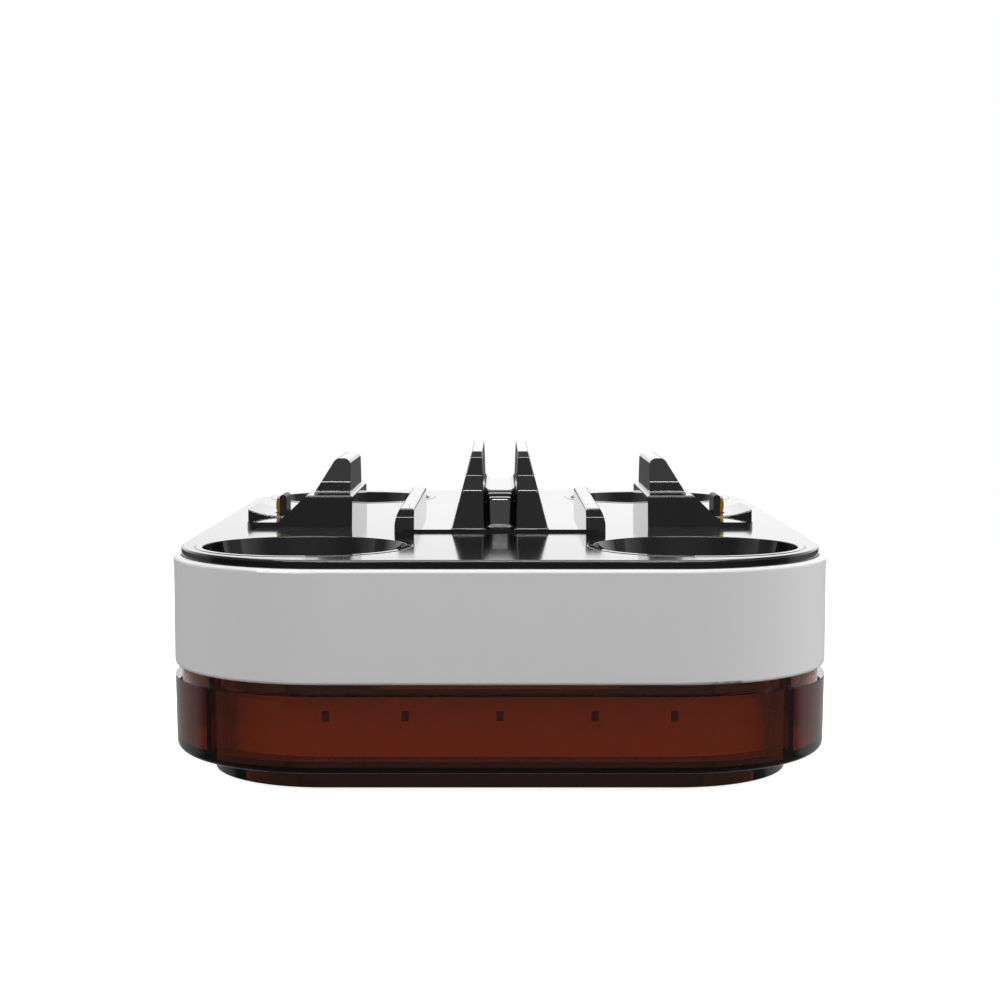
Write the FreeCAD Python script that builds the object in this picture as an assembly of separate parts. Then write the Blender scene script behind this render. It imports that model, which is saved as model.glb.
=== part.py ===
"""Charging stand for two controllers and one handheld console.

Millimetres, +Z up. The origin is on the table under the middle of the stand, +X is
to the right and +Y is away from the front. The stand is a lit tray, a white band and
a black top plate, stacked, with a console cradle in the middle and a dock each side.
"""
import math
import os

import FreeCAD
import Part

V = FreeCAD.Vector

# Outline of the base, seen from above
BASE_WIDTH = 140.0
BASE_DEPTH = 185.0
CORNER_RADIUS = 33.8

# Heights of the stack, from the table up
FOOT_PROUD = 0.6
PEDESTAL_HEIGHT = 4.4
TRAY_WALL_HEIGHT = 15.9
NECK_HEIGHT = 2.3
BAND_HEIGHT = 23.1
PLATE_RISE = 1.8

# Light tray
TRAY_RIM_INSET = 0.05
TRAY_HEEL_INSET = 0.3
TRAY_WALL = 3.0
TRAY_FLOOR = 2.4
TRAY_EDGE_RADIUS = 1.6
PEDESTAL_INSET = 8.4
NECK_INSET = 1.5
BOSS_INSET = 4.7
BOSS_RADIUS = 2.5

# Light behind the tray wall
REFLECTOR_INSET = 8.0
REFLECTOR_WALL = 1.2
STRIP_THICKNESS = 0.4
STRIP_WIDTH = 5.0
STRIP_CENTRE_ABOVE_LEDGE = 8.5
LED_LENGTH = 1.4
LED_HEIGHT = 2.0
LED_THICKNESS = 0.7
LED_INNER_SHARE = 0.544
LED_END_GAP = 0.9
LED_SIDE_STEPS = 3

# White band
BAND_WALL = 1.5
BAND_EDGE_RADIUS = 0.7
SEAT_WIDTH = 2.0
SEAT_HEIGHT = 1.5

# Lower deck
LOWER_DECK_THICKNESS = 2.0
CORNER_POST_HEIGHT = 5.0
CORNER_POST_RADIUS = 1.9
DECK_POST_FROM_WELL_X = 15.3
DECK_POST_FROM_WELL_Y = 25.7
DECK_POST_RADIUS = 3.0
PLATE_BOSS_LENGTH = 5.0

# Top plate
PLATE_THICKNESS = 3.0
PLATE_EDGE_RADIUS = 0.5

# Grip wells
WELL_FROM_SIDE = 28.4
WELL_FROM_END = 28.1
WELL_HALF_X = 21.6
WELL_HALF_Y = 19.4
WELL_FLOOR_HALF_X = 14.0
WELL_FLOOR_HALF_Y = 12.8
WELL_DEPTH = 34.0
WELL_FLOOR_RADIUS = 5.0
CUP_WALL = 1.2
RIM_WIDTH = 1.5
RIM_THICKNESS = 1.6
RIM_PROUD = 0.1
RIM_RADIUS = 0.2

# Console cradle
CRADLE_LENGTH = 70.0
PLATFORM_HEIGHT = 0.6
PLATFORM_CORNER = 2.0
FIN_HEIGHT = 18.0
FIN_STEP_HEIGHT = 9.35
FIN_STEP_LEAN = 1.55
FIN_HIP_HEIGHT = 12.8
FIN_HIP_LEAN = 3.4
FIN_SHOULDER_HEIGHT = 16.7
FIN_SHOULDER_LEAN = 7.9
FIN_END_RUN = 10.7
FIN_BASE_OUTER = 11.2
FIN_TOP_OUTER = 6.6
FIN_EDGE_RADIUS = 0.4
FIN_BEND_RADIUS = 1.8
FIN_ROOT_RADIUS = 0.7
SLOT_TOP_WIDTH = 8.2
SLOT_ROOT_WIDTH = 7.2
SLOT_FLOOR_HEIGHT = 8.65
SLOT_FLOOR_RADIUS = 2.0
WEB_END_GAP = 8.5
WEB_END_RUN = 3.8
WEB_EDGE_RADIUS = 4.0
RIDGE_INNER = 19.7
RIDGE_TOP_WIDTH = 3.3
RIDGE_BASE_WIDTH = 4.5
RIDGE_HEIGHT = 5.3
RIDGE_BEND_HEIGHT = 3.3
RIDGE_BEND_LEAN = 0.4
RIDGE_BEND_RADIUS = 1.2
RIDGE_END_LEAN = 1.6
RIDGE_BELLY_HEIGHT = 3.2
RIDGE_BELLY = 0.9
RIDGE_EDGE_RADIUS = 0.7

# Controller dock
DOCK_FROM_SIDE = 35.2
DOCK_LENGTH = 48.0
DOCK_END_LEAN = 1.6
BLOCK_TOP = 7.4
BLOCK_WIDTH = 10.9
PLINTH_HEIGHT = 1.2
PLINTH_WIDTH = 25.0
PLINTH_CORNER = 3.0
SLOPE_FOOT_FROM_INNER = 17.4
COLLAR_LENGTH = 22.0
COLLAR_FROM_INNER = 15.2
COLLAR_DIP_FROM_INNER = 20.2
COLLAR_OUTER_FROM_INNER = 26.2
COLLAR_INNER_TOP = 1.7
COLLAR_DIP_TOP = 1.6
COLLAR_OUTER_TOP = 3.1
COLLAR_EDGE_RADIUS = 0.3
TAB_TOP = 15.8
TAB_LENGTH = 35.0
TAB_END_LEAN = 2.4
TAB_SETBACK = 0.9
TAB_TOP_WIDTH = 3.6
TAB_BASE_WIDTH = 8.7
TAB_STEP_HEIGHT = 10.3
TAB_STEP_LEAN = 0.5
TAB_BEND_RADIUS = 2.5
TAB_ROOT_RADIUS = 0.8
TAB_CROWN_RADIUS = 1.7
DOCK_EDGE_RADIUS = 0.5

# Charging contacts
CONTACT_FROM_INNER = 18.5
CONTACT_THICKNESS = 1.7
CONTACT_WIDTH = 9.0
CONTACT_TOP = 6.1
CONTACT_TOP_RADIUS = 0.7
CONTACT_FLANGE = 1.6
CONTACT_FLANGE_THICKNESS = 1.5
BLADE_THICKNESS = 0.7
BLADE_WIDTH = 1.8
BLADE_PITCH = 4.4
BLADE_BOW = 0.35
CONTACT_BOARD_WIDTH = 8.0
CONTACT_BOARD_LENGTH = 23.0
CONTACT_BOARD_THICKNESS = 1.2
CONTACT_SCREW_PITCH = 18.0

# Main board and power socket
BOARD_WIDTH = 30.0
BOARD_LENGTH = 40.0
BOARD_THICKNESS = 1.6
BOARD_ABOVE_DECK = 4.0
BOARD_BACK_GAP = 0.8
BOARD_SCREW_MARGIN = 3.0
SOCKET_WIDTH = 9.0
SOCKET_HEIGHT = 3.3
SOCKET_LENGTH = 7.4
SOCKET_SHEET = 0.3
SOCKET_RECESS = 1.0
TONGUE_WIDTH = 6.6
TONGUE_SETBACK = 1.2
TONGUE_THICKNESS = 0.7
CHIP_SIZE = 6.0
CHIP_HEIGHT = 1.1
COIL_RADIUS = 3.2
COIL_HEIGHT = 3.0
PLUG_WIDTH = 5.0
PLUG_DEPTH = 4.0
PLUG_HEIGHT = 3.6
PLUG_PITCH = 9.0

# Leads
LEAD_RADIUS = 0.9
LEAD_BEND = 5.0

# Rubber feet
FOOT_RADIUS = 5.0
FOOT_RECESS = 1.0
FOOT_OFFSET = 11.0

# Screws
SHANK_RADIUS = 1.0
HEAD_RADIUS = 1.75
HEAD_HEIGHT = 1.4
RECESS_RADIUS = 0.7
RECESS_DEPTH = 0.7
RECESS_ARM = 0.35
SCREW_BITE = 6.0
SMALL_SHANK_RADIUS = 0.7
SMALL_HEAD_RADIUS = 1.3
SMALL_HEAD_HEIGHT = 1.0
SMALL_BITE = 3.0
SCREW_STOP = 5.0

# Clearances
SLIP = 0.15
HOLE_GAP = 0.1
CUP_GAP = 0.5
SOCKET_GAP = 0.3

# How close a point must be to count as on a plane
NEAR = 1e-3

# Levels worked out from the stack
LEDGE_BOTTOM = FOOT_PROUD + PEDESTAL_HEIGHT
LEDGE_TOP = LEDGE_BOTTOM + TRAY_FLOOR
TRAY_RIM = LEDGE_BOTTOM + TRAY_WALL_HEIGHT
BAND_BOTTOM = TRAY_RIM + NECK_HEIGHT
BAND_TOP = BAND_BOTTOM + BAND_HEIGHT
PLATE_TOP = BAND_TOP + PLATE_RISE
PLATE_BOTTOM = PLATE_TOP - PLATE_THICKNESS
LOWER_DECK_TOP = BAND_BOTTOM + LOWER_DECK_THICKNESS
WELL_FLOOR = PLATE_TOP - WELL_DEPTH
STRIP_CENTRE = LEDGE_TOP + STRIP_CENTRE_ABOVE_LEDGE
PLATE_INSET = BAND_WALL + SLIP
WELL_X = BASE_WIDTH / 2 - WELL_FROM_SIDE
WELL_Y = BASE_DEPTH / 2 - WELL_FROM_END
DECK_POST_X = WELL_X - DECK_POST_FROM_WELL_X
DECK_POST_Y = WELL_Y - DECK_POST_FROM_WELL_Y
LED_OUTER_X = BASE_WIDTH / 2 - CORNER_RADIUS - LED_END_GAP
LED_INNER_X = LED_OUTER_X * LED_INNER_SHARE
LED_SIDE_PITCH = (BASE_DEPTH / 2 - CORNER_RADIUS - LED_END_GAP) / LED_SIDE_STEPS
FIN_TOP_LENGTH = CRADLE_LENGTH - FIN_END_RUN * 2
WEB_BASE_LENGTH = CRADLE_LENGTH - WEB_END_GAP * 2
WEB_TOP_LENGTH = WEB_BASE_LENGTH - WEB_END_RUN * 2
DOCK_INNER = BASE_WIDTH / 2 - DOCK_FROM_SIDE
POST_TOP = PLATE_BOTTOM - PLATE_BOSS_LENGTH
CONTACT_X = DOCK_INNER + CONTACT_FROM_INNER
CONTACT_BOARD_TOP = PLATE_BOTTOM - CONTACT_FLANGE_THICKNESS
CONTACT_BOARD_BOTTOM = CONTACT_BOARD_TOP - CONTACT_BOARD_THICKNESS
BOARD_BOTTOM = LOWER_DECK_TOP + BOARD_ABOVE_DECK
BOARD_TOP = BOARD_BOTTOM + BOARD_THICKNESS
BOARD_BACK = BASE_DEPTH / 2 - BAND_WALL - BOARD_BACK_GAP
BOARD_FRONT = BOARD_BACK - BOARD_LENGTH
LEAD_LEVEL = BOARD_TOP + PLUG_HEIGHT / 2
CRADLE_SCREW_X = (FIN_BASE_OUTER + SLOT_ROOT_WIDTH / 2) / 2
CRADLE_SCREW_Y = FIN_TOP_LENGTH / 2 - SCREW_BITE
DOCK_SCREW_X = DOCK_INNER + BLOCK_WIDTH / 2
DOCK_SCREW_Y = TAB_LENGTH / 2 - SCREW_BITE
SIDES = (-1, 1)
QUARTERS = [(side, end) for end in SIDES for side in SIDES]


def in_xz(u, v):
    """Point of a profile that is drawn from the front."""
    return V(u, 0, v)


def in_yz(u, v):
    """Point of a profile that is drawn from the side."""
    return V(0, u, v)


def profile_face(place, start, steps):
    """Face inside a closed profile; a step of one point is a line, of two an arc."""
    here = place(*start)
    edges = []
    for step in steps:
        if isinstance(step[0], tuple):
            there = place(*step[1])
            edges.append(Part.Arc(here, place(*step[0]), there).toShape())
        else:
            there = place(*step)
            edges.append(Part.LineSegment(here, there).toShape())
        here = there
    edges.append(Part.LineSegment(here, place(*start)).toShape())
    return Part.Face(Part.Wire(edges))


def along_y(face, length):
    """Prism of a front profile, centred on the XZ plane."""
    return face.translated(V(0, -length / 2, 0)).extrude(V(0, length, 0))


def along_x(face, start, end):
    """Prism of a side profile between two values of X."""
    return face.translated(V(start, 0, 0)).extrude(V(end - start, 0, 0))


def block(width, length, height, centre):
    """Rectangular block, given the centre of its underside."""
    corner = V(centre[0] - width / 2, centre[1] - length / 2, centre[2])
    return Part.makeBox(width, length, height, corner)


def disc(radius, bottom, top, x, y):
    """Upright cylinder between two levels."""
    return Part.makeCylinder(radius, top - bottom, V(x, y, bottom))


def rounded_wire(half_x, half_y, radius, z):
    """Rectangle with round corners, in a level plane."""
    edges = []
    spots = [(half_x, half_y), (-half_x, half_y), (-half_x, -half_y), (half_x, -half_y)]
    for turn, (x, y) in enumerate(spots):
        centre = V(x - math.copysign(radius, x), y - math.copysign(radius, y), z)
        angles = [math.radians(90 * turn + swing) for swing in (0, 45, 90)]
        arc = [centre + V(radius * math.cos(a), radius * math.sin(a), 0) for a in angles]
        if edges:
            edges.append(Part.LineSegment(edges[-1].Vertexes[-1].Point, arc[0]).toShape())
        edges.append(Part.Arc(*arc).toShape())
    edges.append(Part.LineSegment(arc[2], edges[0].Vertexes[0].Point).toShape())
    return Part.Wire(edges)


def base_wire(inset, z):
    """Outline of the base, moved inwards."""
    return rounded_wire(BASE_WIDTH / 2 - inset, BASE_DEPTH / 2 - inset, CORNER_RADIUS - inset, z)


def base_slab(inset, bottom, top):
    """Slab with the outline of the base, moved inwards."""
    return Part.Face(base_wire(inset, bottom)).extrude(V(0, 0, top - bottom))


def corner_point(inset, side, end):
    """Point in the middle of a round corner of the base, some way in from its edge."""
    reach = (CORNER_RADIUS - inset) * math.sqrt(0.5) - CORNER_RADIUS
    return side * (BASE_WIDTH / 2 + reach), end * (BASE_DEPTH / 2 + reach)


def edges_where(shape, test):
    """Edges of a shape whose bounding box passes a test."""
    return [edge for edge in shape.Edges if test(edge.BoundBox)]


def level_edges(shape, z):
    """Edges that lie in one level plane."""
    return edges_where(shape, lambda box: abs(box.ZMin - z) < NEAR and abs(box.ZMax - z) < NEAR)


def cut_all(shape, tools):
    """Shape less every tool in a list."""
    return shape.cut(Part.makeCompound(tools))


def fuse_all(shape, others):
    """Shape and others as one piece, with no seams in its flat faces."""
    return shape.multiFuse(others).removeSplitter()


def left_of(shape):
    """Mirror image on the other side of the stand."""
    return shape.mirror(V(0, 0, 0), V(1, 0, 0))


def well_oval(side, end, grow, z):
    """Oval section of a grip well at some level, made larger by a margin."""
    sunk = (PLATE_TOP - z) / WELL_DEPTH
    half_x = WELL_HALF_X + (WELL_FLOOR_HALF_X - WELL_HALF_X) * sunk + grow
    half_y = WELL_HALF_Y + (WELL_FLOOR_HALF_Y - WELL_HALF_Y) * sunk + grow
    ellipse = Part.Ellipse(V(side * WELL_X, end * WELL_Y, z), half_x, half_y)
    return Part.Wire(ellipse.toShape())


def well_taper(side, end, grow, bottom, top):
    """Solid that fills a grip well between two levels, made larger by a margin."""
    ends = [well_oval(side, end, grow, bottom), well_oval(side, end, grow, top)]
    return Part.makeLoft(ends, True, True)


def rim_disc(side, end, grow, bottom, top):
    """Straight oval disc in the outline of a well's rim."""
    ellipse = well_oval(side, end, RIM_WIDTH + grow, PLATE_TOP)
    face = Part.Face(ellipse).translated(V(0, 0, bottom - PLATE_TOP))
    return face.extrude(V(0, 0, top - bottom))


def make_light_tray():
    """Clear tray: a leaning wall, a stepped floor on a pedestal, a neck and corner bosses."""
    wall = Part.makeLoft([base_wire(TRAY_HEEL_INSET, LEDGE_BOTTOM), base_wire(TRAY_RIM_INSET, TRAY_RIM)],
                         True, True)
    wall = wall.makeFillet(TRAY_EDGE_RADIUS, level_edges(wall, LEDGE_BOTTOM))
    pedestal = base_slab(PEDESTAL_INSET, FOOT_PROUD, LEDGE_TOP)
    neck = base_slab(NECK_INSET, TRAY_RIM, BAND_BOTTOM)
    tray = fuse_all(wall, [pedestal, neck])
    tray = cut_all(tray, [base_slab(TRAY_WALL, LEDGE_TOP, BAND_BOTTOM),
                          base_slab(PEDESTAL_INSET + TRAY_WALL, FOOT_PROUD + TRAY_FLOOR, LEDGE_TOP)])
    bosses = []
    holes = []
    for side, end in QUARTERS:
        spot = corner_point(BOSS_INSET, side, end)
        bosses.append(disc(BOSS_RADIUS, LEDGE_TOP, BAND_BOTTOM, *spot))
        holes.append(disc(SHANK_RADIUS + HOLE_GAP, LEDGE_BOTTOM, BAND_BOTTOM, *spot))
        holes.append(disc(HEAD_RADIUS + HOLE_GAP, LEDGE_BOTTOM, TRAY_RIM - SCREW_STOP, *spot))
        foot = foot_point(side, end)
        holes.append(disc(FOOT_RADIUS + HOLE_GAP, FOOT_PROUD, FOOT_PROUD + FOOT_RECESS, *foot))
    return cut_all(fuse_all(tray, bosses), holes)


def make_reflector():
    """Pale skirt that stands on the tray's ledge and carries the light strip."""
    ring = base_slab(REFLECTOR_INSET, LEDGE_TOP, TRAY_RIM)
    ring = ring.cut(base_slab(REFLECTOR_INSET + REFLECTOR_WALL, LEDGE_TOP, TRAY_RIM))
    inside = V(0, BASE_DEPTH / 2 - REFLECTOR_INSET - REFLECTOR_WALL * 2, STRIP_CENTRE)
    return ring.cut(Part.makeCylinder(LEAD_RADIUS + HOLE_GAP, REFLECTOR_WALL * 2, inside, V(0, 1, 0)))


def make_led_strip():
    """Flexible strip round the outside of the skirt."""
    low = STRIP_CENTRE - STRIP_WIDTH / 2
    high = STRIP_CENTRE + STRIP_WIDTH / 2
    strip = base_slab(REFLECTOR_INSET - STRIP_THICKNESS, low, high)
    return strip.cut(base_slab(REFLECTOR_INSET, low, high))


def make_led_chips():
    """Lights along the straight runs of the strip, facing the tray wall."""
    out = LED_THICKNESS / 2 + STRIP_THICKNESS - REFLECTOR_INSET
    low = STRIP_CENTRE - LED_HEIGHT / 2
    chips = []
    for end in SIDES:
        for x in (-LED_OUTER_X, -LED_INNER_X, 0, LED_INNER_X, LED_OUTER_X):
            spot = (x, end * (BASE_DEPTH / 2 + out), low)
            chips.append(block(LED_LENGTH, LED_THICKNESS, LED_HEIGHT, spot))
    for side in SIDES:
        for step in range(-LED_SIDE_STEPS, LED_SIDE_STEPS + 1):
            spot = (side * (BASE_WIDTH / 2 + out), step * LED_SIDE_PITCH, low)
            chips.append(block(LED_THICKNESS, LED_LENGTH, LED_HEIGHT, spot))
    return Part.makeCompound(chips)


def socket_slot(grow, start, end):
    """Flat slot with round ends through the back of the band, where the power socket sits."""
    radius = SOCKET_HEIGHT / 2 + grow
    face = Part.Face(rounded_wire(SOCKET_WIDTH / 2 + grow, radius, radius - NEAR, 0))
    face.rotate(V(0, 0, 0), V(1, 0, 0), 90)
    face.translate(V(0, start, BOARD_TOP + SOCKET_HEIGHT / 2))
    return face.extrude(V(0, end - start, 0))


def make_mid_band():
    """White outer band with a seat inside for the top plate and a slot for the power socket."""
    band = base_slab(0, BAND_BOTTOM, BAND_TOP)
    band = band.makeFillet(BAND_EDGE_RADIUS, level_edges(band, BAND_BOTTOM) + level_edges(band, BAND_TOP))
    band = band.cut(base_slab(BAND_WALL, BAND_BOTTOM, BAND_TOP))
    seat = base_slab(BAND_WALL, PLATE_BOTTOM - SEAT_HEIGHT, PLATE_BOTTOM)
    seat = seat.cut(base_slab(BAND_WALL + SEAT_WIDTH, PLATE_BOTTOM - SEAT_HEIGHT, PLATE_BOTTOM))
    band = fuse_all(band, [seat])
    return band.cut(socket_slot(SOCKET_GAP, BASE_DEPTH / 2 - BAND_WALL * 2, BASE_DEPTH / 2 + BAND_WALL))


def board_screw_points():
    """Places of the four screws that hold the main board."""
    near = BOARD_FRONT + BOARD_SCREW_MARGIN + PLUG_DEPTH
    far = BOARD_BACK - SOCKET_LENGTH - BOARD_SCREW_MARGIN
    reach = BOARD_WIDTH / 2 - BOARD_SCREW_MARGIN
    return [(side * reach, y) for side in SIDES for y in (near, far)]


def led_lead_y():
    """Depth at which the light's lead passes down through the lower deck."""
    return BOARD_FRONT - LEAD_BEND * 2


def make_lower_deck():
    """Inner deck that closes the band from below and carries the posts and the main board."""
    deck = base_slab(BAND_WALL + SLIP, BAND_BOTTOM, LOWER_DECK_TOP)
    room = CUP_WALL + CUP_GAP
    deck = cut_all(deck, [well_taper(*q, room, BAND_BOTTOM, LOWER_DECK_TOP) for q in QUARTERS])
    posts = []
    holes = [disc(LEAD_RADIUS * 2, BAND_BOTTOM, LOWER_DECK_TOP, 0, led_lead_y())]
    for side, end in QUARTERS:
        spot = corner_point(BOSS_INSET, side, end)
        posts.append(disc(CORNER_POST_RADIUS, LOWER_DECK_TOP, LOWER_DECK_TOP + CORNER_POST_HEIGHT, *spot))
        holes.append(disc(SHANK_RADIUS, BAND_BOTTOM, LOWER_DECK_TOP + CORNER_POST_HEIGHT, *spot))
        spot = (side * DECK_POST_X, end * DECK_POST_Y)
        posts.append(disc(DECK_POST_RADIUS, LOWER_DECK_TOP, POST_TOP, *spot))
        holes.append(disc(SHANK_RADIUS + HOLE_GAP, BAND_BOTTOM, POST_TOP, *spot))
        holes.append(disc(HEAD_RADIUS + HOLE_GAP, BAND_BOTTOM, POST_TOP - SCREW_STOP, *spot))
    for spot in board_screw_points():
        posts.append(disc(SMALL_HEAD_RADIUS + SMALL_SHANK_RADIUS, LOWER_DECK_TOP, BOARD_BOTTOM, *spot))
        holes.append(disc(SMALL_SHANK_RADIUS, BOARD_BOTTOM - SMALL_BITE, BOARD_BOTTOM, *spot))
    return cut_all(fuse_all(deck, posts), holes)


def contact_slot(bottom, top):
    """Slot for a charging contact and its blades, on the right-hand side."""
    width = CONTACT_THICKNESS + (BLADE_THICKNESS + BLADE_BOW + SLIP) * 2
    return block(width, CONTACT_WIDTH + SLIP * 2, top - bottom, (CONTACT_X, 0, bottom))


def contact_screw_points(side):
    """Places of the two screws that hold a contact board."""
    return [(side * CONTACT_X, end * CONTACT_SCREW_PITCH / 2) for end in SIDES]


def cradle_screw_points():
    """Places of the screws that hold the console cradle."""
    return [(side * CRADLE_SCREW_X, end * CRADLE_SCREW_Y) for side, end in QUARTERS]


def dock_screw_points(side):
    """Places of the screws that hold one dock."""
    return [(side * DOCK_SCREW_X, end * DOCK_SCREW_Y) for end in SIDES]


def make_top_plate():
    """Black plate with holes for the wells and contacts, and bosses on its underside."""
    plate = base_slab(PLATE_INSET, PLATE_BOTTOM, PLATE_TOP)
    plate = plate.makeFillet(PLATE_EDGE_RADIUS, level_edges(plate, PLATE_TOP))
    bosses = []
    cuts = [contact_slot(PLATE_BOTTOM, PLATE_TOP), left_of(contact_slot(PLATE_BOTTOM, PLATE_TOP))]
    for side, end in QUARTERS:
        spot = (side * DECK_POST_X, end * DECK_POST_Y)
        bosses.append(disc(DECK_POST_RADIUS, POST_TOP, PLATE_BOTTOM, *spot))
        cuts.append(disc(SHANK_RADIUS, POST_TOP, POST_TOP + SCREW_BITE, *spot))
        cuts.append(well_taper(side, end, CUP_WALL + HOLE_GAP, PLATE_BOTTOM, PLATE_TOP))
        cuts.append(rim_disc(side, end, HOLE_GAP, PLATE_TOP + RIM_PROUD - RIM_THICKNESS, PLATE_TOP))
    for spot in cradle_screw_points() + dock_screw_points(-1) + dock_screw_points(1):
        cuts.append(disc(SHANK_RADIUS + HOLE_GAP, PLATE_BOTTOM, PLATE_TOP, *spot))
    for spot in contact_screw_points(-1) + contact_screw_points(1):
        bosses.append(disc(SMALL_HEAD_RADIUS + SMALL_SHANK_RADIUS, CONTACT_BOARD_TOP, PLATE_BOTTOM, *spot))
        cuts.append(disc(SMALL_SHANK_RADIUS, CONTACT_BOARD_TOP, CONTACT_BOARD_TOP + SMALL_BITE, *spot))
    return cut_all(fuse_all(plate, bosses), cuts)


def make_well_cup(side, end):
    """Tapered cup for one grip, with a rolled rim that hangs in the top plate."""
    rim_top = PLATE_TOP + RIM_PROUD
    cup = well_taper(side, end, CUP_WALL, WELL_FLOOR - CUP_WALL, rim_top - RIM_THICKNESS)
    cup = cup.makeFillet(WELL_FLOOR_RADIUS + CUP_WALL, level_edges(cup, WELL_FLOOR - CUP_WALL))
    hollow = well_taper(side, end, 0, WELL_FLOOR, rim_top)
    hollow = hollow.makeFillet(WELL_FLOOR_RADIUS, level_edges(hollow, WELL_FLOOR))
    rim = rim_disc(side, end, 0, rim_top - RIM_THICKNESS, rim_top)
    cup = cup.fuse(rim).cut(hollow)
    return cup.makeFillet(RIM_RADIUS, level_edges(cup, rim_top))


def slot_half(height):
    """Half the width of the console slot at a height above the plate."""
    return (SLOT_ROOT_WIDTH + (SLOT_TOP_WIDTH - SLOT_ROOT_WIDTH) * height / FIN_HEIGHT) / 2


def make_fin():
    """Right-hand fin: a leaning blade whose ends step back in flats with soft bends between them."""
    base = PLATE_TOP
    half = CRADLE_LENGTH / 2
    rear = [
        (half, base), (half - FIN_STEP_LEAN, base + FIN_STEP_HEIGHT),
        (half - FIN_HIP_LEAN, base + FIN_HIP_HEIGHT),
        (half - FIN_SHOULDER_LEAN, base + FIN_SHOULDER_HEIGHT),
        (FIN_TOP_LENGTH / 2, base + FIN_HEIGHT)]
    front = [(-y, z) for y, z in reversed(rear)]
    side_view = profile_face(in_yz, front[-1], rear + front[:-1])
    front_view = profile_face(in_xz, (slot_half(0), base), [
        (FIN_BASE_OUTER, base), (FIN_TOP_OUTER, base + FIN_HEIGHT),
        (slot_half(FIN_HEIGHT), base + FIN_HEIGHT)])
    fin = along_x(side_view, 0, FIN_BASE_OUTER).common(along_y(front_view, CRADLE_LENGTH))
    bends = edges_where(fin, lambda box: box.YLength < NEAR and box.ZLength < NEAR
                        and box.ZMin > base + NEAR)
    fin = fin.makeFillet(FIN_BEND_RADIUS, bends)
    sides = edges_where(fin, lambda box: box.YLength > NEAR and box.ZMax > base + NEAR
                        and box.XLength < FIN_BASE_OUTER - FIN_TOP_OUTER)
    return fin.makeFillet(FIN_EDGE_RADIUS, sides)


def make_ridge():
    """Right-hand low ridge beside the console, with an outward belly and ends that bend back."""
    base = PLATE_TOP
    outer = RIDGE_INNER + RIDGE_TOP_WIDTH
    belly = RIDGE_INNER + RIDGE_BASE_WIDTH
    front_view = profile_face(in_xz, (RIDGE_INNER, base), [
        (belly, base), ((outer + RIDGE_BELLY, base + RIDGE_BELLY_HEIGHT), (outer, base + RIDGE_HEIGHT)),
        (RIDGE_INNER, base + RIDGE_HEIGHT)])
    half = CRADLE_LENGTH / 2
    bend = half - RIDGE_BEND_LEAN
    top = half - RIDGE_END_LEAN
    side_view = profile_face(in_yz, (-half, base), [
        (half, base), (bend, base + RIDGE_BEND_HEIGHT), (top, base + RIDGE_HEIGHT),
        (-top, base + RIDGE_HEIGHT), (-bend, base + RIDGE_BEND_HEIGHT)])
    side = along_x(side_view, RIDGE_INNER, belly)
    side = side.makeFillet(RIDGE_BEND_RADIUS, level_edges(side, base + RIDGE_BEND_HEIGHT))
    ridge = along_y(front_view, CRADLE_LENGTH).common(side)
    return ridge.makeFillet(RIDGE_EDGE_RADIUS, level_edges(ridge, base + RIDGE_HEIGHT))


def make_console_cradle():
    """Platform, two ridges and two fins joined by a web whose top is the floor of the slot."""
    base = PLATE_TOP
    deck = base + PLATFORM_HEIGHT
    floor = base + SLOT_FLOOR_HEIGHT
    slab = Part.Face(rounded_wire(RIDGE_INNER + RIDGE_BASE_WIDTH, CRADLE_LENGTH / 2, PLATFORM_CORNER, base))
    slab = slab.extrude(V(0, 0, PLATFORM_HEIGHT))
    web_view = profile_face(in_yz, (-WEB_BASE_LENGTH / 2, base), [
        (WEB_BASE_LENGTH / 2, base), (WEB_TOP_LENGTH / 2, floor), (-WEB_TOP_LENGTH / 2, floor)])
    web = along_x(web_view, -CRADLE_SCREW_X, CRADLE_SCREW_X)
    brinks = edges_where(web, lambda box: box.YLength < NEAR and abs(box.ZMin - floor) < NEAR)
    web = web.makeFillet(WEB_EDGE_RADIUS, brinks)
    fin = make_fin()
    ridge = make_ridge()
    cradle = fuse_all(slab, [web, fin, left_of(fin), ridge, left_of(ridge)])
    in_slot = edges_where(cradle, lambda box: max(-box.XMin, box.XMax) < slot_half(SLOT_FLOOR_HEIGHT) + NEAR
                          and box.XLength < SLOT_FLOOR_RADIUS and deck + NEAR < box.ZMax < floor + NEAR)
    cradle = cradle.makeFillet(SLOT_FLOOR_RADIUS, in_slot)
    roots = edges_where(cradle, lambda box: box.ZLength < NEAR and abs(box.ZMin - deck) < NEAR
                        and box.YLength > WEB_BASE_LENGTH
                        and FIN_TOP_OUTER < abs(box.XMin) < RIDGE_INNER - FIN_ROOT_RADIUS)
    cradle = cradle.makeFillet(FIN_ROOT_RADIUS, roots)
    holes = [disc(SHANK_RADIUS, base, base + SCREW_BITE, *spot) for spot in cradle_screw_points()]
    return cut_all(cradle, holes)


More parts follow.
